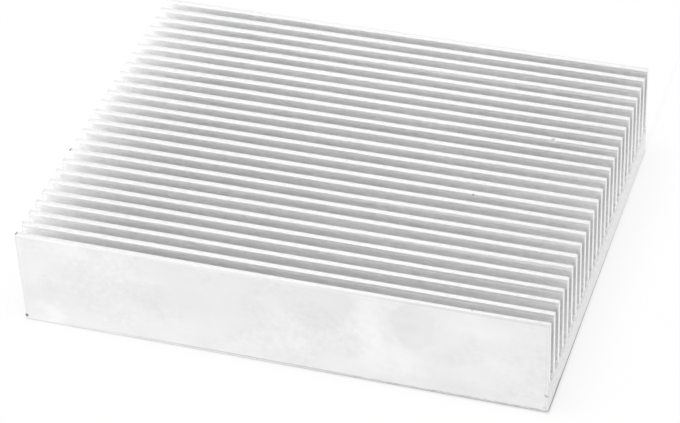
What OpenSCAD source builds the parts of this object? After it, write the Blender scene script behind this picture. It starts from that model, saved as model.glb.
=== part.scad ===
// Extruded heat sink: a thick base that carries a row of parallel fins.
// The section is the same all along the piece, and both ends are sawn square,
// so base and fins are one solid.
// Millimetres. The origin is the middle of the underside, +X runs along the
// fins, +Y runs across them and +Z points up to the fin tips.

/* [Overall] */
// Length along the fins, from saw cut to saw cut
length = 150; // [20:1:400]
// Width across the fins, between the two outer faces
width = 120; // [90:1:200]
// Height from the underside to the fin tips
height = 30; // [15:0.5:60]

/* [Base] */
// Thickness of the base, from the underside to the floor of the gaps
base_thickness = 10; // [3:0.5:14]
// Radius along the two long edges of the underside
base_edge_radius = 0.5; // [0.1:0.1:1.5]

/* [Fins] */
// Number of fins, the two outer ones included
fin_count = 25; // [5:1:32]
// Thickness of a fin at its tip
fin_tip_thickness = 1.7; // [1.2:0.1:2.4]
// How much thicker an inner fin is at its root than at its tip
fin_taper = 0.3; // [0:0.05:0.6]
// Radius on both edges of a fin's tip
tip_radius = 0.3; // [0.1:0.05:0.5]
// Radius in the corners between the fins and the floor of the gaps
root_radius = 0.5; // [0.1:0.05:0.6]

/* [Hidden] */
$fn = 48;

// Height of a fin above the floor of the gaps
fin_height = height - base_thickness;
// Distance from one fin to the next
fin_pitch = (width - fin_tip_thickness) / (fin_count - 1);
// Middle of the first fin's tip
first_fin_y = fin_tip_thickness / 2 - width / 2;
// Depth to which fins and corner fillets reach into the solid behind them
bite = min(base_thickness, fin_tip_thickness) / 4;

// Slope of a fin's side that gains side_taper from the tip to the root
function side_slope(side_taper) = atan(side_taper / fin_height);

// Distance from a fin's middle plane to its side at height z
function side_y(side_taper, z) =
    fin_tip_thickness / 2 + side_taper * (height - z) / fin_height;

// The base, with both lower corners rounded
module base_section() {
    straight_width = width - 2 * base_edge_radius;
    translate([-straight_width / 2, 0])
        square([straight_width, base_thickness]);
    translate([-width / 2, base_edge_radius])
        square([width, base_thickness - base_edge_radius]);
    for (side = [-1, 1])
        translate([side * straight_width / 2, base_edge_radius])
            circle(base_edge_radius);
}

// One half of a fin, from its middle plane to one side, with a rounded tip edge
module fin_half(side_taper) {
    slope = side_slope(side_taper);
    centre_z = height - tip_radius;
    centre_y = side_y(side_taper, centre_z) - tip_radius / cos(slope);
    polygon([
        [0, base_thickness - bite],
        [side_y(side_taper, base_thickness), base_thickness - bite],
        [side_y(side_taper, base_thickness), base_thickness],
        [centre_y + tip_radius * cos(slope), centre_z + tip_radius * sin(slope)],
        [centre_y, height],
        [0, height]
    ]);
    translate([centre_y, centre_z])
        circle(tip_radius);
}

// The rounded corner between one side of a fin and the floor of the gap
module root_fillet(side_taper) {
    slope = side_slope(side_taper);
    centre_z = base_thickness + root_radius;
    centre_y = side_y(side_taper, centre_z) + root_radius / cos(slope);
    touch_y = centre_y - root_radius * cos(slope);
    touch_z = centre_z - root_radius * sin(slope);
    difference() {
        polygon([
            [touch_y - bite, base_thickness - bite],
            [centre_y, base_thickness - bite],
            [centre_y, base_thickness],
            [touch_y, touch_z],
            [touch_y - bite, touch_z]
        ]);
        translate([centre_y, centre_z])
            circle(root_radius);
    }
}

// The side of a fin that faces a gap
module gap_side() {
    fin_half(fin_taper / 2);
    root_fillet(fin_taper / 2);
}

// The side of an outer fin that is flush with the edge of the base
module outer_side() {
    fin_half(0);
}

module section() {
    base_section();
    for (i = [0 : fin_count - 1])
        translate([first_fin_y + i * fin_pitch, 0]) {
            if (i == fin_count - 1) outer_side();
            else gap_side();
            mirror([1, 0]) {
                if (i == 0) outer_side();
                else gap_side();
            }
        }
}

module heat_sink() {
    color("gainsboro")
        rotate([90, 0, 90])
            linear_extrude(height = length, center = true)
                section();
}

heat_sink();
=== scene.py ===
"""Looks of the extruded heat sink: its surfaces, small wear, studio and camera.

The CAD solid is the clean section. Here the same section is swept along the
piece once more with what the real metal shows: fins that wander a little, tip
edges that soften, edges broken at the saw cuts, torn and lipped roots, and nicks.
Everything is in metres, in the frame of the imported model.
"""
import math
from collections import namedtuple
import bpy
import numpy as np
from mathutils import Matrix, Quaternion, Vector


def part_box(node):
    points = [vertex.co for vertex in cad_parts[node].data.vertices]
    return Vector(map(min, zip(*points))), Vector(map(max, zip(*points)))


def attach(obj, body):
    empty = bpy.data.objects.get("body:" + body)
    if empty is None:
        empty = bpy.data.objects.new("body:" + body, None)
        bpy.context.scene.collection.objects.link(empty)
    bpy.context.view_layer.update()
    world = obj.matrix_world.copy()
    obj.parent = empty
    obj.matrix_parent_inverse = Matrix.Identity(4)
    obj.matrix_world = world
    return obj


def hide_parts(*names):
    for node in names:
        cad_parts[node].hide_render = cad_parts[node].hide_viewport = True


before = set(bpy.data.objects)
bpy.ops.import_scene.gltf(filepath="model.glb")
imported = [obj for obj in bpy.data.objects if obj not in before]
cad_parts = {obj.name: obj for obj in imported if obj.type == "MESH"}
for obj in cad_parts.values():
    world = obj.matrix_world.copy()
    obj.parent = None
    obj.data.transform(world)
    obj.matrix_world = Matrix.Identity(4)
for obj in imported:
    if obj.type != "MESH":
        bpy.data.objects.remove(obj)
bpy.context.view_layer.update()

NODE = "heat_sink"
MM = 0.001
rng = np.random.default_rng(25)

# ------------------------------------------------------------- the section
LOW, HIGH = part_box(NODE)
LENGTH = HIGH.x - LOW.x
WIDTH = HIGH.y - LOW.y
HEIGHT = HIGH.z - LOW.z
BASE = 10 * MM
FINS = 25
TIP_WIDTH = 1.7 * MM
TAPER = 0.15 * MM  # each side of an inner fin gains this from tip to root
TIP_ROUND = 0.3 * MM
ROOT_ROUND = 0.5 * MM
FOOT_ROUND = 0.4 * MM
SHOULDER = 0.45 * MM  # height over which a wall runs in to its tip edge
FIN_HEIGHT = HEIGHT - BASE
PITCH = (WIDTH - TIP_WIDTH) / (FINS - 1)
ARC_STEPS = 4
WALL_STEPS = 7
SUPPORT = 0.1 * MM  # from an arc or a step to the point that holds its shading
GAP_POINTS = (0.25, 0.5, 0.75)  # shares of the way across the floor of a gap
# Radius of the near tip edges as a share of TIP_ROUND, given at some fins and blended
# between them, and the random spread of the near and the far edges.
SOFT_FINS = (0, 1, 12, 18, 24)
SOFTNESS = (0.6, 0.7, 0.8, 1.4, 1.4)
NEAR_SPREAD = (0.85, 1.15)
FAR_SPREAD = (0.6, 1.0)
# Surfaces, in the order of the body's materials.
MILL, SAWN, OUTER = 0, 1, 2


def fin_y(i):
    """Middle plane of a fin."""
    return LOW.y + TIP_WIDTH / 2 + i * PITCH


def side_y(taper, z):
    """Distance from a fin's middle plane to its side at height z."""
    return TIP_WIDTH / 2 + taper * (HEIGHT - z) / FIN_HEIGHT


def arc(centre_y, centre_z, radius, start, end):
    """Points along an arc from one angle to another, in radians."""
    angles = np.linspace(start, end, ARC_STEPS + 1)
    return [(centre_y + radius * math.cos(a), centre_z + radius * math.sin(a)) for a in angles]


def fin_side(taper, tip_round):
    """One side of a fin as (distance from its middle, z, on tip edge), from foot to tip.

    The wall has a point close to each arc, so the arcs' shading stays on them.
    """
    slope = math.atan(taper / FIN_HEIGHT)
    tip_z = HEIGHT - tip_round
    tip_y = side_y(taper, tip_z) - tip_round / math.cos(slope)
    tip = arc(tip_y, tip_z, tip_round, slope, math.pi / 2)
    if taper:
        root_z = BASE + ROOT_ROUND
        root_y = side_y(taper, root_z) + ROOT_ROUND / math.cos(slope)
        foot = arc(root_y, root_z, ROOT_ROUND, -math.pi / 2, -math.pi + slope)
    else:
        foot = arc(TIP_WIDTH / 2 - FOOT_ROUND, FOOT_ROUND, FOOT_ROUND, -math.pi / 2, 0)
    edge_z = tip_z - SUPPORT
    low = foot[-1][1] + SUPPORT
    high = edge_z - SHOULDER - SUPPORT
    heights = list(np.linspace(low, high, WALL_STEPS)) + [edge_z - SHOULDER, edge_z]
    wall = [(side_y(taper, z), z) for z in heights]
    points = foot + wall + tip
    return [(y, z, int(z >= edge_z)) for y, z in points]


def section():
    """The outline, anticlockwise seen from +X.

    Gives y, z, fin number, side (-1 near, 1 far, 0 floor of a gap), surface and
    whether it is on the tip edge for each point.
    """
    rows = []
    for i in reversed(range(FINS)):
        soft = np.interp(i, SOFT_FINS, SOFTNESS)
        near_round = TIP_ROUND * soft * rng.uniform(*NEAR_SPREAD)
        far_round = TIP_ROUND * rng.uniform(*FAR_SPREAD)
        far = fin_side(0 if i == FINS - 1 else TAPER, far_round)
        near = fin_side(0 if i == 0 else TAPER, near_round)
        far_kind = OUTER if i == FINS - 1 else MILL
        near_kind = OUTER if i == 0 else MILL
        rows += [(fin_y(i) + y, z, i, 1, far_kind, edge) for y, z, edge in far]
        rows += [(fin_y(i) - y, z, i, -1, near_kind, edge) for y, z, edge in reversed(near)]
        if i > 0:
            start, end = fin_y(i) - near[0][0], fin_y(i - 1) + near[0][0]
            rows += [(start + (end - start) * s, BASE, i, 0, MILL, 0) for s in GAP_POINTS]
    columns = np.array(rows)
    ys, zs = columns[:, 0], columns[:, 1]
    owner, side, kind, edge = (columns[:, c].astype(int) for c in (2, 3, 4, 5))
    return ys, zs, owner, side, kind, edge


def outward(ys, zs):
    """Unit normals of the outline at its points."""
    ty = np.roll(ys, -1) - np.roll(ys, 1)
    tz = np.roll(zs, -1) - np.roll(zs, 1)
    size = np.hypot(ty, tz)
    return tz / size, -ty / size


# ------------------------------------------------- wander, wear and the cuts
STATIONS = 44
# The saw cuts: the break along their edges, a further station, the start of the metal
# that rolls over beside them, and its sideways shift at the right cut.
END_BREAK = 0.09 * MM
END_STEP = 0.35 * MM
END_ROLL = 0.8 * MM
ROLL_SHIFT = 0.04 * MM
# Sideways wander of the tips: its size, its waves along the piece, how it grows from
# root to tip, and the share of it that the outer fins keep.
WANDER = 0.05 * MM
WANDER_WAVES = (0.7, 1.6, 3.3)
WANDER_GROWTH = 1.5
OUTER_WANDER = 0.5
# Lean of some fins at the right end, in mm, and how it grows along the piece.
END_LEAN = {0: 0.25, 1: -0.14}
LEAN_GROWTH = 4
# Ragged roots at both cuts: height, its random spread, and reach along the piece.
TEAR = 0.35 * MM
TEAR_SPREAD = (-0.6, 1.0)
TEAR_REACH = 0.5 * MM
# Lip across each gap's floor at the right cut: height, and reach along the piece.
LIP = 0.8 * MM
LIP_REACH = 0.3 * MM
# How far the near tip edges stand back at the right end, in mm: most fins, then some
# by number. It grows from nothing at the left end.
SHOULDER_DEPTH = 0.14
SHOULDERS = {0: 0.45, 1: 0.26, 2: 0.32, 3: 0.3, 5: 0.3, 7: 0.26, 8: 0.26, 13: 0.22, 16: 0.24,
             21: 0.26}
SHOULDER_GROWTH = 1.5
# Strip that a file left on the near sides beside the left cut.
STRIP = 1.35 * MM
STRIP_DEPTH = 0.16 * MM
SHARP_ANGLE = 35  # degrees; edges sharper than this are shaded as creases


def near_edge(i):
    """Y of a fin's near side at its tip."""
    return fin_y(i) - TIP_WIDTH / 2


def share_x(share):
    """X at a share of the length, from the left end."""
    return LOW.x + share * LENGTH


def share_y(share):
    """Y at a share of the width, from the front face."""
    return LOW.y + share * WIDTH


# Nicks: centre, radius, depth, and the tone painted as shade in the dent.
Nick = namedtuple("Nick", "centre radius depth tone")
NICKS = [
    Nick((LOW.x + 0.4 * MM, LOW.y, 1.5 * MM), 0.75 * MM, 0.2 * MM, 0.25),
    Nick((LOW.x, fin_y(0), HEIGHT), 0.9 * MM, 0.2 * MM, 0.4),
    Nick((LOW.x, fin_y(8), HEIGHT), 0.9 * MM, 0.2 * MM, 0.4),
    Nick((share_x(0.876), fin_y(16) - 0.35 * MM, HEIGHT), 0.8 * MM, 0.3 * MM, 0.65),
    Nick((share_x(0.7745), near_edge(10), HEIGHT - 0.35 * MM), 0.5 * MM, 0.15 * MM, 0.55),
    Nick((share_x(0.8595), LOW.y + 1.4 * MM, HEIGHT), 0.45 * MM, 0.1 * MM, 0.7),
    Nick((share_x(0.9970), LOW.y, 5.9 * MM), 0.6 * MM, 0.08 * MM, 0.65),
    Nick((share_x(0.9935), LOW.y, 6.1 * MM), 0.45 * MM, 0.05 * MM, 0.75),
    Nick((share_x(0.9925), LOW.y, 1.8 * MM), 0.5 * MM, 0.05 * MM, 0.85),
    Nick((HIGH.x, LOW.y, 0.0), 1.0 * MM, 0.3 * MM, 0.75),
]
NICK_STEPS = (-1, -0.5, 0, 0.5, 1)
NICK_MARGIN = 3 * END_ROLL  # nicks nearer a cut than this use the stations of the cut


def stations():
    """Places along the piece where the section is drawn, as x."""
    even = np.linspace(LOW.x + END_ROLL * 2, HIGH.x - END_ROLL * 2, STATIONS)
    steps = np.array([0.0, END_BREAK, END_STEP, END_ROLL, END_ROLL + SUPPORT])
    marks = [LOW.x + STRIP, LOW.x + STRIP + SUPPORT]
    for nick in NICKS:
        x = nick.centre[0]
        if LOW.x + NICK_MARGIN < x < HIGH.x - NICK_MARGIN:
            marks += [x + nick.radius * s for s in NICK_STEPS]
    return np.unique(np.concatenate([even, LOW.x + steps, HIGH.x - steps, marks]))


def end_roll(xs):
    """0 along the piece, rising to 1 over the last bit before the right cut."""
    return np.clip((xs - (HIGH.x - END_ROLL)) / END_ROLL, 0, 1)


def wander(i, xs):
    """Sideways shift of one fin's tip along the piece. The outer fins only move inwards."""
    share = (xs - LOW.x) / LENGTH
    shift = np.zeros_like(xs)
    for waves in WANDER_WAVES:
        shift += WANDER / waves ** 0.5 * np.sin(2 * math.pi * (waves * share + rng.uniform()))
    roll = ROLL_SHIFT * rng.uniform(-1, 1) * end_roll(xs)
    lean = END_LEAN.get(i, 0) * MM * share ** LEAN_GROWTH
    if i == 0:
        return np.abs(shift) * OUTER_WANDER + lean + ROLL_SHIFT * end_roll(xs)
    if i == FINS - 1:
        return -np.abs(shift) * OUTER_WANDER
    return shift + roll + lean


def shoulders(xs, owner, side, edge):
    """How far the near tip edges stand back, more to the right, at each station and point."""
    share = (xs - LOW.x) / LENGTH
    back = np.zeros((len(xs), len(owner)))
    for i in range(FINS):
        depth = SHOULDERS.get(i, SHOULDER_DEPTH) * MM
        points = (owner == i) & (side == -1) & (edge == 1)
        back[:, points] = (depth * share ** SHOULDER_GROWTH)[:, None]
    return back


def left_strip(xs, zs, side, edge):
    """How far the near sides fall away beside the left cut, where a file ran down them."""
    share = np.clip(1 - (xs - LOW.x) / STRIP, 0, 1)
    where = (side == -1) & (edge == 0) & (zs > BASE)
    return STRIP_DEPTH * share[:, None] * where[None, :]


def torn_roots(zs):
    """Ragged height of the gap roots at a saw cut, for each point of the outline."""
    at_root = (zs > BASE - SUPPORT) & (zs < BASE + ROOT_ROUND)
    return np.where(at_root, rng.uniform(*TEAR_SPREAD, len(zs)) * TEAR, 0.0)


def root_lips(xs, side):
    """Height of the lip that the saw raised across each gap's floor at the right cut."""
    near_cut = np.clip(1 - (HIGH.x - xs) / LIP_REACH, 0, 1)
    return LIP * near_cut[:, None] * (side == 0)[None, :]


def dent(points, normals, nick):
    """Push the points near a nick inwards."""
    distance = np.linalg.norm(points - np.array(nick.centre), axis=2) / nick.radius
    push = nick.depth * np.clip(1 - distance ** 2, 0, 1)
    points -= normals * push[:, :, None]


def swept_points(xs, outline):
    """Vertex grid: one row of outline points for each station."""
    ys, zs, owner, side, _, edge = outline
    ny, nz = outward(ys, zs)
    rise = np.clip((zs - BASE) / FIN_HEIGHT, 0, 1) ** WANDER_GROWTH
    shifts = np.array([wander(i, xs) for i in range(FINS)])
    back = shoulders(xs, owner, side, edge) + left_strip(xs, zs, side, edge)
    at_cut = np.clip(1 - np.minimum(xs - LOW.x, HIGH.x - xs) / TEAR_REACH, 0, 1)
    left_tear = torn_roots(zs)
    right_tear = torn_roots(zs)
    tear = np.where(xs[:, None] < 0, left_tear[None, :], right_tear[None, :])
    inset = np.where((xs == xs[0]) | (xs == xs[-1]), END_BREAK, 0.0)[:, None]
    points = np.zeros((len(xs), len(ys), 3))
    points[:, :, 0] = xs[:, None]
    points[:, :, 1] = ys - ny * inset + shifts[owner].T * rise + back
    points[:, :, 2] = zs - nz * inset + tear * at_cut[:, None] + root_lips(xs, side)
    normals = np.zeros_like(points)
    normals[:, :, 1] = ny
    normals[:, :, 2] = nz
    for nick in NICKS:
        dent(points, normals, nick)
    return points


def build_faces(kind, rows, cols):
    """Quads along the sweep and one face over each saw cut, with the surface of each."""
    faces, surfaces = [], []
    for c in range(cols):
        d = (c + 1) % cols
        both_outer = kind[c] == OUTER and kind[d] == OUTER and d > c
        for s in range(rows - 1):
            faces.append((s * cols + c, s * cols + d, (s + 1) * cols + d, (s + 1) * cols + c))
            surfaces.append(OUTER if both_outer else MILL)
    faces.append(tuple(reversed(range(cols))))
    faces.append(tuple((rows - 1) * cols + c for c in range(cols)))
    surfaces += [SAWN, SAWN]
    return faces, surfaces


def build_body():
    """The whole extrusion as one closed mesh, with sawn ends as their own faces."""
    outline = section()
    kind = outline[4]
    points = swept_points(stations(), outline)
    rows, cols = points.shape[:2]
    faces, surfaces = build_faces(kind, rows, cols)
    mesh = bpy.data.meshes.new("extrusion")
    mesh.from_pydata(points.reshape(-1, 3).tolist(), [], faces)
    mesh.polygons.foreach_set("material_index", surfaces)
    mesh.polygons.foreach_set("use_smooth", [True] * len(faces))
    mesh.set_sharp_from_angle(angle=math.radians(SHARP_ANGLE))
    body = bpy.data.objects.new("extrusion", mesh)
    bpy.context.scene.collection.objects.link(body)
    return body


# ------------------------------------------------------- spans for the marks
UP = (0.0, 1.0)
DOWN = (1.0, 0.0)
# Parts of a noise's range that are stretched over a mark's levels.
MOST = (0.3, 0.7)
MIDDLE = (0.35, 0.65)


def along(start, end):
    """Span of x between two shares of the length."""
    return share_x(start), share_x(end)


def across(start, end):
    """Span of y between two shares of the width."""
    return share_y(start), share_y(end)


def upward(start, end):
    """Span of z between two shares of the height."""
    return start * HEIGHT, end * HEIGHT


def from_front(start, end):
    """Span of y between two distances behind the front face, in mm."""
    return LOW.y + start * MM, LOW.y + end * MM


def under_tips(start, end):
    """Span of z between two depths under the tips, in mm."""
    return HEIGHT - start * MM, HEIGHT - end * MM


def over_base(start, end):
    """Span of z between two heights over the floors of the gaps, in mm."""
    return BASE + start * MM, BASE + end * MM


# ---------------------------------------------------------------- materials
# Where the nodes stand in the editor: steps across and down, and rows before the next.
NODE_ACROSS = 60
NODE_DOWN = 120
NODE_ROWS = 5


class Tree:
    """A node tree being built, with short ways to add and join nodes."""

    def __init__(self, owner):
        """Start with no nodes in a material or a world."""
        owner.use_nodes = True
        self.nodes = owner.node_tree.nodes
        self.links = owner.node_tree.links
        self.nodes.clear()

    def add(self, kind, **settings):
        """A new node with the given settings."""
        node = self.nodes.new(kind)
        count = len(self.nodes)
        node.location = (count * NODE_ACROSS, -count % NODE_ROWS * NODE_DOWN)
        for key, value in settings.items():
            setattr(node, key, value)
        return node

    def put(self, socket, value):
        """Give a socket another socket's output, or a plain value."""
        if isinstance(value, bpy.types.NodeSocket):
            self.links.new(value, socket)
        else:
            socket.default_value = value

    def math(self, operation, a, b=0.0, c=0.0):
        """One sum on up to three values."""
        node = self.add("ShaderNodeMath", operation=operation)
        for socket, value in zip(node.inputs, (a, b, c)):
            self.put(socket, value)
        return node.outputs["Value"]

    def product(self, values):
        """The values multiplied together."""
        total = values[0]
        for value in values[1:]:
            total = self.math("MULTIPLY", total, value)
        return total

    def one_less(self, values):
        """1 less the product of the values: what a mark leaves of the light."""
        return self.math("SUBTRACT", 1.0, self.product(values))

    def vector(self, operation, a, b=(0, 0, 0), output="Vector"):
        """One sum on up to two vectors."""
        node = self.add("ShaderNodeVectorMath", operation=operation)
        self.put(node.inputs[0], a)
        self.put(node.inputs[1], b)
        return node.outputs[output]

    def remap(self, value, span, levels, smooth=False):
        """Stretch a span of the value over two levels, and hold them outside it."""
        kind = "SMOOTHSTEP" if smooth else "LINEAR"
        node = self.add("ShaderNodeMapRange", interpolation_type=kind)
        for socket, number in zip(node.inputs, (value, *span, *levels)):
            self.put(socket, number)
        return node.outputs["Result"]

    def place(self):
        """Object coordinates, in metres."""
        return self.add("ShaderNodeTexCoord").outputs["Object"]

    def axes(self, place):
        """The x, y and z of a place."""
        node = self.add("ShaderNodeSeparateXYZ")
        self.put(node.inputs["Vector"], place)
        return [node.outputs[axis] for axis in "XYZ"]

    def noise(self, place, waves, detail=4.0, rough=0.6, output="Fac"):
        """Noise with its own number of waves per metre along each axis."""
        node = self.add("ShaderNodeTexNoise")
        self.put(node.inputs["Vector"], self.vector("MULTIPLY", place, waves))
        node.inputs["Scale"].default_value = 1.0
        node.inputs["Detail"].default_value = detail
        node.inputs["Roughness"].default_value = rough
        return node.outputs[output]

    def metal(self, tone, rough, height, strength, depth):
        """Bare metal shader from a grey tone, a roughness and a height."""
        colour = self.add("ShaderNodeCombineColor")
        for socket in colour.inputs:
            self.put(socket, tone)
        bump = self.add("ShaderNodeBump")
        bump.inputs["Strength"].default_value = strength
        bump.inputs["Distance"].default_value = depth
        self.put(bump.inputs["Height"], height)
        shader = self.add("ShaderNodeBsdfPrincipled")
        shader.inputs["Metallic"].default_value = 1.0
        self.put(shader.inputs["Base Color"], colour.outputs["Color"])
        self.put(shader.inputs["Roughness"], rough)
        self.put(shader.inputs["Normal"], bump.outputs["Normal"])
        output = self.add("ShaderNodeOutputMaterial")
        self.put(output.inputs["Surface"], shader.outputs["BSDF"])


def patch(tree, place, centre, radii, tone, core=0.3):
    """1 away from an oval patch, easing to a tone inside its core."""
    offset = tree.vector("SUBTRACT", place, centre)
    distance = tree.vector("LENGTH", tree.vector("DIVIDE", offset, radii), output="Value")
    return tree.remap(distance, (core, 1.0), (tone, 1.0), smooth=True)


def nick_shade(tree, place):
    """Painted shade: dark centres of the nicks."""
    return tree.product([patch(tree, place, nick.centre, (nick.radius,) * 3, nick.tone)
                         for nick in NICKS])


# ------------------------------------------------ marks, painted light and painted shade on the outer faces
# Lighter and darker patches on the front, those at the left end painted light: share of
# length, share of height, half width and half height in mm, tone, and the share of the
# patch that is flat before its edge begins.
FRONT_PATCHES = [
    (0.370, 0.68, 34, 19, 0.95, 0.3),
    (0.260, 0.52, 22, 9, 0.98, 0.5),
    (0.745, 0.76, 5.5, 6, 0.97, 0.2),
    (0.830, 0.10, 13, 6, 0.965, 0.4),
    (0.715, 0.30, 15, 9, 1.05, 0.4),
    (0.677, 0.66, 6, 17, 1.062, 0.5),
    (0.740, 0.20, 7, 3, 1.02, 0.4),
    (0.245, 0.735, 9, 1.8, 1.03, 0.3),
    (0.120, 0.90, 24, 8, 1.055, 0.3),
    (0.030, 0.60, 6, 12, 1.035, 0.3),
    (0.060, 0.12, 17, 7, 1.05, 0.3),
    (0.900, 0.45, 10, 6, 1.02, 0.4),
    (0.063, 0.14, 6, 5.5, 1.06, 0.4),
    (0.870, 0.84, 18, 6, 1.04, 0.4),
    (0.495, 0.50, 4, 3.5, 1.02, 0.4),
    (0.535, 0.30, 5, 4, 1.03, 0.4),
    (0.430, 0.20, 9, 4.5, 1.02, 0.3),
    (0.815, 0.42, 10, 3.5, 0.975, 0.4),
]
PATCH_WAVES = (160, 160, 160)
PATCH_WOBBLE = 4 * MM
# Marks with one clear edge: share of length, share of height, half width and half
# height in mm, tone, and the two shares of length between which the mark fades in.
EDGED_PATCHES = [
    (0.573, 0.93, 13.5, 17, 0.955, 0.45, 0.57),
    (0.754, 0.73, 7.8, 10.5, 0.953, 0.84, 0.73),
]
EDGED_CORE = 0.86
EDGED_WAVES = (150, 150, 150)
EDGED_WOBBLE = 2.6 * MM
FRONT_ONLY = from_front(0, 1)
# Painted shade along the foot, where the base meets the floor: its waves and width, how it
# widens to the right, the light it loses from left to right, how uneven that is, and the
# shares of the width it fades over.
FOOT_WAVES = (90, 0, 0)
FOOT_WIDTH = (0.75 * MM, 1.1 * MM)
FOOT_WIDENS = along(0.5, 0.65)
FOOT_WIDENING = (0.78, 1.0)
FOOT_DARKENS = along(0.42, 0.88)
FOOT_LOSS = (0.2, 0.38)
FOOT_PATCHES = (60, 0, 0)
FOOT_UNEVEN = (0.92, 1.08)
FOOT_FADE = (0.3, 1.0)
# Thin lines of painted shade over the foot, standing for grooves: their waver, their half
# width from full to nothing, and dashes.
LINE_WAVES = (500, 0, 0)
LINE_FADE = (0.08 * MM, 0.28 * MM)
DASH_WAVES = (260, 0, 0)
DASH_EDGE = (0.4, 0.6)
# The second line: height, waver, its faintest share, and where it comes and goes.
SECOND_RISE = 0.95 * MM
SECOND_RAGGED = 0.06 * MM
SECOND_FAINTEST = 0.7
SECOND_COMES = along(0.08, 0.35)
SECOND_LOSS = (0.0, 0.3)
SECOND_GOES = along(0.6, 0.7)
# The line that parts from it, in the same way.
PARTING_RISES = along(0.58, 0.70)
PARTING_RISE = (0.6 * MM, 0.85 * MM)
PARTING_RAGGED = 0.2 * MM
PARTING_FAINTEST = 0.25
PARTING_COMES = along(0.60, 0.68)
PARTING_LOSS = (0.0, 0.32)
# Upright line of painted shade at each cut's roll: its half width from full to nothing, and its
# tone.
ROLL_FADE = (0.05 * MM, 0.3 * MM)
ROLL_TONE = (0.965, 1.0)
# Painted shade on the soft top edge of the front: its height, the light it loses towards
# the right, and how far back it goes.
BRIM = under_tips(0.75, 0.5)
BRIM_ALONG = along(0.5, 0.85)
BRIM_LOSS = (0.0, 0.14)
BRIM_DEPTH = from_front(0, 2)


def wavering(tree, place, waves, size):
    """The place, pushed about by up to the given size."""
    push = tree.noise(place, waves, detail=3.0, output="Color")
    push = tree.vector("SUBTRACT", push, (0.5,) * 3)
    return tree.vector("ADD", place, tree.vector("MULTIPLY", push, (2 * size,) * 3))


def front_mark(tree, place, right, up, half_width, half_height, tone, core):
    """Oval mark on the front: its place in shares of the face, its half sizes in mm."""
    centre = (share_x(right), 0, up * HEIGHT)
    radii = (half_width * MM, WIDTH, half_height * MM)
    return patch(tree, place, centre, radii, tone, core)


def front_patches(tree, place):
    """Lighter and darker patches on the front face, with painted light at its left end."""
    x, y, _ = tree.axes(place)
    wavy = wavering(tree, place, PATCH_WAVES, PATCH_WOBBLE)
    factors = [front_mark(tree, wavy, *spot) for spot in FRONT_PATCHES]
    crisp = wavering(tree, place, EDGED_WAVES, EDGED_WOBBLE)
    for *edged, faint, full in EDGED_PATCHES:
        share = tree.remap(x, along(faint, full), UP)
        factors.append(tree.math("POWER", front_mark(tree, crisp, *edged, EDGED_CORE), share))
    front = tree.remap(y, FRONT_ONLY, DOWN)
    return tree.math("POWER", tree.product(factors), front)


def foot_shade(tree, place):
    """Painted shade: dark line along the bottom edge, thicker and thinner along its run."""
    x, _, z = tree.axes(place)
    ragged = tree.remap(tree.noise(place, FOOT_WAVES, detail=3.0), MIDDLE, FOOT_WIDTH)
    width = tree.math("MULTIPLY", ragged, tree.remap(x, FOOT_WIDENS, FOOT_WIDENING))
    lost = tree.remap(x, FOOT_DARKENS, FOOT_LOSS)
    uneven = tree.remap(tree.noise(place, FOOT_PATCHES, detail=3.0), MIDDLE, FOOT_UNEVEN)
    line = tree.remap(tree.math("DIVIDE", z, width), FOOT_FADE, DOWN, smooth=True)
    return tree.one_less([lost, uneven, line])


def broken_line(tree, place, rise, depth, ragged, faintest):
    """Thin broken line of painted shade along the front at a height above the foot, as deep as
    asked.
    """
    _, y, z = tree.axes(place)
    uneven = tree.remap(tree.noise(place, LINE_WAVES, detail=3.0), MOST, (-ragged, ragged))
    off = tree.math("ABSOLUTE", tree.math("SUBTRACT", z, tree.math("ADD", rise, uneven)))
    line = tree.remap(off, LINE_FADE, DOWN, smooth=True)
    dashes = tree.remap(tree.noise(place, DASH_WAVES, detail=3.0), DASH_EDGE, (faintest, 1.0))
    front = tree.remap(y, FRONT_ONLY, DOWN)
    return tree.one_less([line, dashes, depth, front])


def groove_shade_lines(tree, place):
    """Painted groove shade: a second line over the foot, another parting from it to the right end.
    """
    x, _, _ = tree.axes(place)
    depth = tree.math("MULTIPLY", tree.remap(x, SECOND_COMES, SECOND_LOSS),
                      tree.remap(x, SECOND_GOES, DOWN))
    second = broken_line(tree, place, SECOND_RISE, depth, SECOND_RAGGED, SECOND_FAINTEST)
    rise = tree.remap(x, PARTING_RISES, PARTING_RISE, smooth=True)
    depth = tree.remap(x, PARTING_COMES, PARTING_LOSS)
    parting = broken_line(tree, place, rise, depth, PARTING_RAGGED, PARTING_FAINTEST)
    return tree.math("MULTIPLY", second, parting)


def roll_shade_lines(tree, place):
    """Painted shade: faint upright line where the metal rolls over at each saw cut."""
    x, _, _ = tree.axes(place)
    inside = tree.math("SUBTRACT", LENGTH / 2, tree.math("ABSOLUTE", x))
    off = tree.math("ABSOLUTE", tree.math("SUBTRACT", inside, END_ROLL))
    return tree.remap(off, ROLL_FADE, ROLL_TONE, smooth=True)


def brim_shade(tree, place):
    """Painted shade on the soft top edge of the front face, towards the right end."""
    x, y, z = tree.axes(place)
    return tree.one_less([tree.remap(z, BRIM, UP, smooth=True),
                          tree.remap(x, BRIM_ALONG, BRIM_LOSS, smooth=True),
                          tree.remap(y, BRIM_DEPTH, DOWN)])


# --------------------------------- painted shade and marks between the fins and at the cuts
# Dull line at the left cut: its run from the cut, and how it fades back and downwards.
CUT_RUN = (LOW.x + 0.15 * MM, LOW.x + 0.6 * MM)
CUT_BACK = across(0.1, 0.7)
CUT_BACK_LEVELS = (1.0, 0.1)
CUT_UP = upward(0.15, 0.8)
CUT_LOSS = (0.0, 0.12)
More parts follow.
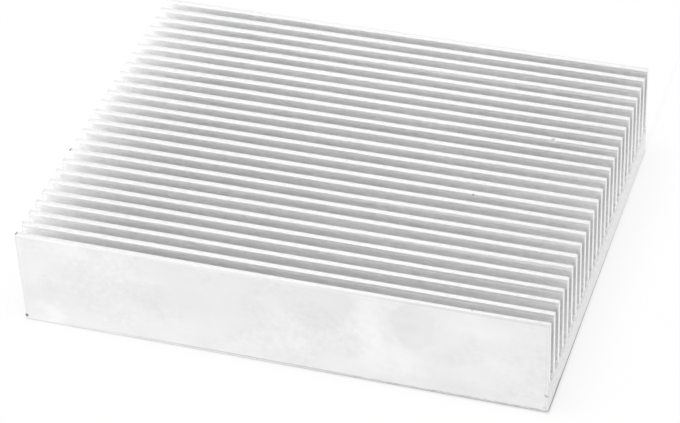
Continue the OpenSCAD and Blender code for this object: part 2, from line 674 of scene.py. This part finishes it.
# Painted shade on the soft near edges of the tips: their height from below and from above,
# the light they lose to the right, their reach from the near side, and their share on
# some fins.
EDGE_BELOW = under_tips(0.8, 0.6)
EDGE_ABOVE = under_tips(0.3, 0.1)
EDGE_ALONG = along(0.3, 0.8)
EDGE_LOSS = (0.0, 0.24)
EDGE_ACROSS = (PITCH / 4 + 0.5 * MM, PITCH / 4 + 0.7 * MM)
EDGE_FRONT_FINS = across(0.145, 0.155)
EDGE_FRONT_SHARE = (1.0, 0.3)
EDGE_REAR_FINS = across(0.45, 0.6)
EDGE_REAR_SHARE = (0.0, 0.6)
# Painted shade on the walls by the right cut: tone of the last stretch, then the light
# lost beside the cut, less towards the floor and none at the tips.
RIGHT_WIDE = along(0.9, 1.0)
RIGHT_TONE = (1.0, 0.975)
BESIDE_RUN = (HIGH.x - 1.7 * MM, HIGH.x - 0.9 * MM)
BESIDE_LOSS = (0.0, 0.19)
BESIDE_UP = upward(0.4, 0.75)
BESIDE_UP_SHARE = (0.45, 1.0)
BESIDE_TOP = under_tips(3.5, 0.8)
# Tops of the fins, the light they lose: painted shade at the left and the right end, a
# random loss from fin to fin, painted shade from the near to the far edge and on the rim
# along the far edge.
ON_TIP = under_tips(0.4, 0.1)
TIP_LEFT = along(0.0, 0.35)
TIP_LEFT_LOSS = (0.01, 0.0)
TIP_RIGHT = along(0.7, 1.0)
TIP_RIGHT_LOSS = (0.005, 0.02)
TIP_WAVES = (9, 170, 0)
TIP_EACH_LOSS = (0.0, 0.012)
TIP_SLOPE = along(0.0, 0.4)
TIP_SLOPE_LOSS = (0.05, 0.02)
RIM = (TIP_WIDTH - 0.36 * MM, TIP_WIDTH - 0.14 * MM)
RIM_LOSS = (0.0, 0.38)
RIM_PAST_FIRST = (LOW.y + TIP_WIDTH, LOW.y + PITCH)
RIM_ALONG = along(0.25, 0.5)
# Painted shade on the walls of the rear fins under their tips.
BROW_BELOW = (0.5 * HEIGHT, HEIGHT - 1.5 * MM)
BROW_LOSS = (0.0, 0.028)
BROW_ABOVE = under_tips(0.9, 0.5)
BROW_BACK = across(0.45, 0.6)
BROW_ALONG = along(0.5, 0.8)


def cut_line(tree, place):
    """Thin dull line where every surface meets the left cut, fading downwards and back."""
    x, y, z = tree.axes(place)
    return tree.one_less([tree.remap(x, CUT_RUN, DOWN, smooth=True),
                          tree.remap(y, CUT_BACK, CUT_BACK_LEVELS),
                          tree.remap(z, CUT_UP, CUT_LOSS)])


def edge_shade(tree, place):
    """Painted shade: soft near edges of the inner fins, darker than the tops towards the right end.
    """
    x, y, z = tree.axes(place)
    shift = tree.math("ADD", tree.math("SUBTRACT", y, LOW.y), PITCH / 4)
    within = tree.math("FLOORED_MODULO", shift, PITCH)
    share = tree.math("MAXIMUM", tree.remap(y, EDGE_FRONT_FINS, EDGE_FRONT_SHARE),
                      tree.remap(y, EDGE_REAR_FINS, EDGE_REAR_SHARE))
    return tree.one_less([tree.remap(z, EDGE_BELOW, UP, smooth=True),
                          tree.remap(z, EDGE_ABOVE, DOWN, smooth=True),
                          tree.remap(x, EDGE_ALONG, EDGE_LOSS), share,
                          tree.remap(within, EDGE_ACROSS, DOWN)])


def right_end_shade(tree, place):
    """Painted shade between the fins towards the right cut, most on the walls beside it."""
    x, _, z = tree.axes(place)
    wide = tree.remap(x, RIGHT_WIDE, RIGHT_TONE)
    beside = tree.one_less([tree.remap(x, BESIDE_RUN, BESIDE_LOSS),
                            tree.remap(z, BESIDE_UP, BESIDE_UP_SHARE),
                            tree.remap(z, BESIDE_TOP, DOWN)])
    return tree.math("MULTIPLY", wide, beside)


def tip_tone_and_shade(tree, place):
    """Tops of the fins: painted shade at both ends and towards the far edge, random from fin to
    fin.
    """
    x, y, z = tree.axes(place)
    within = tree.math("FLOORED_MODULO", tree.math("SUBTRACT", y, LOW.y), PITCH)
    ends = tree.math("ADD", tree.remap(x, TIP_LEFT, TIP_LEFT_LOSS),
                     tree.remap(x, TIP_RIGHT, TIP_RIGHT_LOSS))
    each = tree.remap(tree.noise(place, TIP_WAVES, detail=2.0), MOST, TIP_EACH_LOSS)
    slope = tree.math("MULTIPLY", tree.remap(x, TIP_SLOPE, TIP_SLOPE_LOSS),
                      tree.remap(within, (0.0, TIP_WIDTH), UP))
    rim = tree.product([tree.remap(within, RIM, RIM_LOSS), tree.remap(y, RIM_PAST_FIRST, UP),
                        tree.remap(x, RIM_ALONG, UP)])
    loss = ends
    for more in (each, slope, rim):
        loss = tree.math("ADD", loss, more)
    return tree.one_less([tree.remap(z, ON_TIP, UP), loss])


def brow_shade(tree, place):
    """Painted shade: walls of the rear fins darken a little below their tips towards the right."""
    x, y, z = tree.axes(place)
    return tree.one_less([tree.remap(z, BROW_BELOW, BROW_LOSS, smooth=True),
                          tree.remap(z, BROW_ABOVE, DOWN), tree.remap(y, BROW_BACK, UP),
                          tree.remap(x, BROW_ALONG, UP)])


# ------------------------------------------------------------ the finishes
# Die metal between the fins. Noises in waves per metre, the tones they span, and the
# light gained low in the gaps to the right, and low in the gaps at the back.
MILL_LINES = (14, 1500, 1500)
MILL_LINE_TONE = (0.99, 1.0)
MILL_DASHES = (450, 2100, 2100)
MILL_DASH_ROUGH = 0.7
MILL_DASH_TONE = (0.895, 1.02)
MILL_CLOUDS = (45, 60, 60)
MILL_CLOUD_TONE = (0.993, 1.0)
WALL = (BASE, HEIGHT)
LOW_GAIN = (0.066, 0.026)
LOW_GAIN_ALONG = along(0.2, 0.7)
REAR = across(0.5, 1.0)
REAR_GAIN = (0.0, 0.066)
REAR_UP_SHARE = (1.0, 0.3)
REAR_STARTS = along(0.03, 0.06)
REAR_EASES = along(0.6, 0.9)
REAR_RIGHT_SHARE = (1.0, 0.6)
ROUGHNESS = (0.54, 0.64)
MILL_BUMP = (0.6, 0.03 * MM)
# The two outer faces.
OUTER_LINES = (10, 1300, 1300)
OUTER_LINE_TONE = (0.985, 1.0)
OUTER_CLOUDS = (80, 80, 110)
OUTER_CLOUD_TONE = (0.885, 0.918)
MOTTLE = (520, 520, 520)
MOTTLE_ROUGH = 0.75
MOTTLE_TONE = (0.95, 1.01)
BLOTCHES = (60, 60, 60)
BLOTCH_EDGE = (0.42, 0.58)
OUTER_BUMP = (0.2, 0.03 * MM)
# Dark marks under the gaps at a cut: half width from low to high, the share of it they
# fade over with the light they lose, their ends below and above, and how they differ.
TICK_NARROWS = over_base(-1.7, 0.3)
TICK_HALF = (0.3 * MM, 1.3 * MM)
TICK_FADE = (0.7, 1.1)
TICK_LOSS = (0.36, 0.0)
TICK_BELOW = over_base(-1.8, -0.8)
TICK_ABOVE = over_base(0.2, 0.4)
TICK_WAVES = (0, 260, 0)
TICK_EACH = (0.4, 1.0)
# The saw cuts: grain, specks that are darkest near the roots, fins lighter than the base
# by painted light, painted shade by the front corner and along the foot, which fades to
# the back, lighter towards the back, the left cut darkened by painted shade, and how rough
# each part is.
GRAIN = (1, 1400, 90)
GRAIN_TONE = (0.94, 1.0)
SPECKS = (1, 900, 700)
SPECK_EDGE = (0.4, 0.56)
SPECK_MIDDLE = BASE - 1 * MM
SPECK_REACH = (0.5 * MM, 2.5 * MM)
SPECK_TONE = (0.72, 0.9)
BASE_TO_FINS = over_base(-1, 2)
FIN_CUT_TONE = (0.93, 1.08)
CORNER_SHADE_CENTRE = (HIGH.x, share_y(0.08), 0.4 * MM)
CORNER_SHADE_RADII = (MM, 6 * MM, 2 * MM)
CORNER_SHADE_TONE = 0.62
CUT_FOOT = across(0.0, 0.8)
CUT_FOOT_TONE = (0.22, 0.8)
CUT_FOOT_HEIGHT = (1.7 * MM, 0.7 * MM)
CUT_FOOT_FADE = (0.35, 1.0)
BACK_HALF = (0, HIGH.y)
BACK_HALF_TONE = (1.0, 1.05)
LEFT_CUT_SHADE = (0.72, 1.0)
LEFT_CUT_SHADE_SPAN = along(0.5, 0.9)
GRAIN_ROUGH = (0.0, 0.12)
CUT_ROUGHNESS = (0.37, 0.25)
SAWN_BUMP = (0.3, 0.04 * MM)


def mill_finish():
    """Aluminium as it leaves the die, between the fins: die lines and faint clouds."""
    material = bpy.data.materials.new("mill_finish_aluminium")
    tree = Tree(material)
    place = tree.place()
    x, y, z = tree.axes(place)
    lines = tree.noise(place, MILL_LINES)
    dashes = tree.noise(place, MILL_DASHES, rough=MILL_DASH_ROUGH)
    clouds = tree.noise(place, MILL_CLOUDS, detail=3.0)
    low = tree.math("MULTIPLY", tree.remap(z, WALL, LOW_GAIN), tree.remap(x, LOW_GAIN_ALONG, UP))
    rear = tree.product([tree.remap(y, REAR, REAR_GAIN), tree.remap(z, WALL, REAR_UP_SHARE),
                         tree.remap(x, REAR_STARTS, UP),
                         tree.remap(x, REAR_EASES, REAR_RIGHT_SHARE)])
    # Painted light low in the gaps; painted shade on the tips, soft edges, rear walls, right cut.
    tone = tree.product([tree.remap(lines, MIDDLE, MILL_LINE_TONE),
                         tree.remap(dashes, MIDDLE, MILL_DASH_TONE),
                         tree.remap(clouds, MOST, MILL_CLOUD_TONE),
                         tree.math("ADD", 1.0, tree.math("ADD", low, rear)),
                         tip_tone_and_shade(tree, place), edge_shade(tree, place),
                         brow_shade(tree, place), right_end_shade(tree, place), cut_line(tree, place),
                         nick_shade(tree, place)])
    rough = tree.remap(lines, MOST, ROUGHNESS)
    tree.metal(tone, rough, tree.math("ADD", lines, dashes), *MILL_BUMP)
    return material


def outer_finish():
    """The two outer faces: the same metal, with patches, painted light and painted shade."""
    material = bpy.data.materials.new("outer_face_aluminium")
    tree = Tree(material)
    place = tree.place()
    lines = tree.noise(place, OUTER_LINES)
    clouds = tree.noise(place, OUTER_CLOUDS)
    mottle = tree.noise(place, MOTTLE, rough=MOTTLE_ROUGH)
    blotched = tree.remap(tree.noise(place, BLOTCHES, detail=2.0), BLOTCH_EDGE, UP)
    # Painted light at the front's left end; painted shade on the foot, grooves, rolls and top edge.
    tone = tree.product([tree.remap(lines, MOST, OUTER_LINE_TONE),
                         tree.remap(clouds, MOST, OUTER_CLOUD_TONE),
                         tree.math("POWER", tree.remap(mottle, MIDDLE, MOTTLE_TONE), blotched),
                         front_patches(tree, place), foot_shade(tree, place),
                         groove_shade_lines(tree, place), roll_shade_lines(tree, place),
                         brim_shade(tree, place), cut_line(tree, place),
                         nick_shade(tree, place)])
    rough = tree.remap(clouds, MOST, ROUGHNESS)
    tree.metal(tone, rough, lines, *OUTER_BUMP)
    return material


def root_ticks(tree, place):
    """Dark marks under each gap's floor at a saw cut, narrower downwards."""
    _, y, z = tree.axes(place)
    within = tree.math("FLOORED_MODULO", tree.math("SUBTRACT", y, fin_y(0)), PITCH)
    off = tree.math("ABSOLUTE", tree.math("SUBTRACT", within, PITCH / 2))
    share = tree.math("DIVIDE", off, tree.remap(z, TICK_NARROWS, TICK_HALF))
    return tree.one_less([tree.remap(share, TICK_FADE, TICK_LOSS),
                          tree.remap(z, TICK_BELOW, UP, smooth=True),
                          tree.remap(z, TICK_ABOVE, DOWN),
                          tree.remap(tree.noise(place, TICK_WAVES, detail=1.0), MIDDLE, TICK_EACH)])


def cut_specks(tree, place, z):
    """Dark saw specks, darkest near the roots of the fins."""
    off = tree.math("ABSOLUTE", tree.math("SUBTRACT", z, SPECK_MIDDLE))
    darkest = tree.remap(off, SPECK_REACH, SPECK_TONE)
    return tree.remap(tree.noise(place, SPECKS, detail=3.0), SPECK_EDGE, (darkest, 1.0))


def cut_foot_shade(tree, y, z):
    """Painted shade along the foot of a saw cut, lower and lighter towards the back."""
    dull = tree.remap(y, CUT_FOOT, CUT_FOOT_TONE)
    share = tree.math("DIVIDE", z, tree.remap(y, CUT_FOOT, CUT_FOOT_HEIGHT))
    return tree.math("MAXIMUM", dull, tree.remap(share, CUT_FOOT_FADE, UP, smooth=True))


def sawn_finish():
    """Aluminium at a saw cut: upright grain, lighter on the fins than on the base by painted light.
    """
    material = bpy.data.materials.new("sawn_aluminium")
    tree = Tree(material)
    place = tree.place()
    x, y, z = tree.axes(place)
    grain = tree.noise(place, GRAIN)
    # Painted light on the fins; painted shade along the foot, by its front corner and on the left
    # cut.
    tone = tree.product([tree.remap(grain, MOST, GRAIN_TONE),
                         tree.remap(z, BASE_TO_FINS, FIN_CUT_TONE),
                         cut_specks(tree, place, z), cut_foot_shade(tree, y, z),
                         tree.remap(y, BACK_HALF, BACK_HALF_TONE),
                         tree.remap(x, LEFT_CUT_SHADE_SPAN, LEFT_CUT_SHADE),
                         patch(tree, place, CORNER_SHADE_CENTRE, CORNER_SHADE_RADII, CORNER_SHADE_TONE),
                         root_ticks(tree, place), nick_shade(tree, place)])
    rough = tree.math("ADD", tree.remap(grain, MOST, GRAIN_ROUGH),
                      tree.remap(z, BASE_TO_FINS, CUT_ROUGHNESS))
    tree.metal(tone, rough, grain, *SAWN_BUMP)
    return material


# ------------------------------------------------------ floor, light, camera
WHITE = (1, 1, 1, 1)
PAPER = (0.9, 0.9, 0.9, 1)
ROOM_LIGHT = 1.0
WHITE_LIGHT = 1.0
FLOOR_REACH = 4.0  # half the side of the sheet
FLOOR_DROP = 0.02 * MM
# Floor shading beside and behind the piece: loss of light at its edge, and reach.
FLOOR_SHADES = [
    (0.12, 0.5 * MM),
    (0.05, 2.0 * MM),
    (0.20, 16 * MM),
]
# It sets in past the front and is stronger to the left. A faint one reaches wide.
PAST_FRONT = from_front(-3, 4)
LEFT_SHADE = (1.5, 1.0)
ROOM_SHADE = 0.025
ROOM_REACH = 90 * MM
# Dark line where the front meets the floor: its reach, and its loss from left to right.
FRONT_REACH = 0.7 * MM
FRONT_LINE_ALONG = along(0.3, 0.95)
FRONT_LINE_LOSS = (0.2, 0.4)
# The same at the right cut, weaker towards the back.
SIDE_LINE_OUT = (HIGH.x, HIGH.x + 0.6 * MM)
SIDE_LINE_IN = (HIGH.x - MM, HIGH.x - 0.5 * MM)
SIDE_LINE_START = from_front(-0.5, 0.5)
SIDE_LINE_BACK = across(0.0, 0.4)
SIDE_LINE_LOSS = (0.38, 0.15)


def seen_directly(tree):
    """1 for rays from the camera, a mirror or glass, which see the white room."""
    path = tree.add("ShaderNodeLightPath").outputs
    first = tree.math("MAXIMUM", path["Is Camera Ray"], path["Is Glossy Ray"])
    return tree.math("MAXIMUM", first, path["Is Transmission Ray"])


def mix(tree, share, first, second):
    """Blend of two shaders."""
    node = tree.add("ShaderNodeMixShader")
    for socket, value in zip(node.inputs, (share, first, second)):
        tree.put(socket, value)
    return node.outputs["Shader"]


def background(tree, strength):
    """White light from all round."""
    node = tree.add("ShaderNodeBackground")
    node.inputs["Strength"].default_value = strength
    node.inputs["Color"].default_value = WHITE
    return node.outputs["Background"]


def build_world():
    """A white room, seen as plain white behind the piece."""
    world = bpy.data.worlds.new("room")
    bpy.context.scene.world = world
    tree = Tree(world)
    light = background(tree, ROOM_LIGHT)
    white = background(tree, WHITE_LIGHT)
    output = tree.add("ShaderNodeOutputWorld")
    tree.put(output.inputs["Surface"], mix(tree, seen_directly(tree), light, white))


def soft_shade(tree, x, y, away):
    """Soft shadow beside and behind the piece, stronger to the left."""
    soft = 0.0
    for loss, reach in FLOOR_SHADES:
        shade = tree.remap(away, (0.0, reach), (loss, 0.0), smooth=True)
        soft = tree.math("ADD", soft, shade)
    near = tree.product([soft, tree.remap(y, PAST_FRONT, UP),
                         tree.remap(x, (LOW.x, HIGH.x), LEFT_SHADE)])
    return tree.math("ADD", near, tree.remap(away, (0.0, ROOM_REACH), (ROOM_SHADE, 0.0)))


def contact_lines(tree, x, y, beside):
    """Dark lines where the front and the right cut meet the floor."""
    front = tree.product([tree.remap(y, (LOW.y - FRONT_REACH, LOW.y), UP),
                          tree.remap(y, (LOW.y, LOW.y + FRONT_REACH), DOWN),
                          tree.remap(beside, (0.0, FRONT_REACH), DOWN),
                          tree.remap(x, FRONT_LINE_ALONG, FRONT_LINE_LOSS)])
    right = tree.product([tree.remap(x, SIDE_LINE_OUT, DOWN), tree.remap(x, SIDE_LINE_IN, UP),
                          tree.remap(y, SIDE_LINE_START, UP),
                          tree.remap(y, SIDE_LINE_BACK, SIDE_LINE_LOSS)])
    return tree.math("ADD", front, right)


def floor_material():
    """White paper: what the camera sees is plain white, with a faint shadow by the piece."""
    material = bpy.data.materials.new("white_floor")
    tree = Tree(material)
    paper = tree.add("ShaderNodeBsdfDiffuse")
    paper.inputs["Color"].default_value = PAPER
    white = tree.add("ShaderNodeEmission")
    white.inputs["Color"].default_value = WHITE
    x, y, _ = tree.axes(tree.place())
    beside = tree.math("SUBTRACT", tree.math("ABSOLUTE", x), LENGTH / 2)
    beside = tree.math("MAXIMUM", beside, 0.0)
    behind = tree.math("MAXIMUM", tree.math("SUBTRACT", y, HIGH.y), 0.0)
    away = tree.math("ADD", beside, behind)
    shade = tree.math("ADD", soft_shade(tree, x, y, away), contact_lines(tree, x, y, beside))
    share = tree.math("MULTIPLY", seen_directly(tree), tree.math("SUBTRACT", 1.0, shade))
    output = tree.add("ShaderNodeOutputMaterial")
    both = mix(tree, share, paper.outputs["BSDF"], white.outputs["Emission"])
    tree.put(output.inputs["Surface"], both)
    return material


def build_floor():
    """One wide plain sheet just under the piece."""
    z = LOW.z - FLOOR_DROP
    r = FLOOR_REACH
    mesh = bpy.data.meshes.new("floor")
    mesh.from_pydata([(-r, -r, z), (r, -r, z), (r, r, z), (-r, r, z)], [], [(0, 1, 2, 3)])
    mesh.materials.append(floor_material())
    floor = bpy.data.objects.new("floor", mesh)
    bpy.context.scene.collection.objects.link(floor)


def bearing(azimuth, elevation):
    """Unit vector from the piece at two angles in degrees. Azimuth 0 is in front."""
    a = math.radians(azimuth)
    e = math.radians(elevation)
    return Vector((math.sin(a) * math.cos(e), -math.cos(a) * math.cos(e), math.sin(e)))


# The one lamp: where it hangs round the piece, its distance and size in metres, and power.
LAMP_AZIMUTH = -64
LAMP_ELEVATION = 0
LAMP_DISTANCE = 0.42
LAMP_SIZE = 0.3
LAMP_WATTS = 1.4


def build_light():
    """A near softbox on the left, level with the piece and facing it."""
    way = bearing(LAMP_AZIMUTH, LAMP_ELEVATION)
    lamp = bpy.data.lights.new("left_softbox", "AREA")
    lamp.shape = "SQUARE"
    lamp.size = LAMP_SIZE
    lamp.energy = LAMP_WATTS
    holder = bpy.data.objects.new("left_softbox", lamp)
    holder.location = Vector((0, 0, HEIGHT / 2)) + way * LAMP_DISTANCE
    holder.rotation_euler = (-way).to_track_quat("-Z", "Y").to_euler()
    bpy.context.scene.collection.objects.link(holder)


# Lens and sensor in mm, angles in degrees, distance and aim in piece lengths, clips in m.
LENS = 140.95
SENSOR = 36
CAMERA_AZIMUTH = 19.1
CAMERA_ELEVATION = 38.06
CAMERA_ROLL = -2.7
CAMERA_DISTANCE = 5.02
AIM = (0.0117, -0.0625, 0.1)
NEAR_CLIP = 0.05
FAR_CLIP = 20


def build_camera():
    """The long lens that the piece was taken with."""
    back = bearing(CAMERA_AZIMUTH, CAMERA_ELEVATION)
    camera = bpy.data.objects.new("camera", bpy.data.cameras.new("camera"))
    camera.data.sensor_width = SENSOR
    camera.data.lens = LENS
    camera.data.clip_start = NEAR_CLIP
    camera.data.clip_end = FAR_CLIP
    camera.location = (Vector(AIM) + back * CAMERA_DISTANCE) * LENGTH
    turn = (-back).to_track_quat("-Z", "Y")
    turn.rotate(Quaternion(back, math.radians(CAMERA_ROLL)))
    camera.rotation_euler = turn.to_euler()
    bpy.context.scene.collection.objects.link(camera)
    bpy.context.scene.camera = camera


# ------------------------------------------------------------------ assembly
# Light goes back and forth in the narrow gaps, so it may bounce off metal many times.
METAL_BOUNCES = 32
DIFFUSE_BOUNCES = 4

body = build_body()
for finish in (mill_finish(), sawn_finish(), outer_finish()):
    body.data.materials.append(finish)
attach(body, "root")
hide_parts(NODE)

build_world()
build_floor()
build_light()
build_camera()

scene = bpy.context.scene
scene.view_settings.view_transform = "Standard"
scene.cycles.max_bounces = METAL_BOUNCES
scene.cycles.glossy_bounces = METAL_BOUNCES
scene.cycles.diffuse_bounces = DIFFUSE_BOUNCES
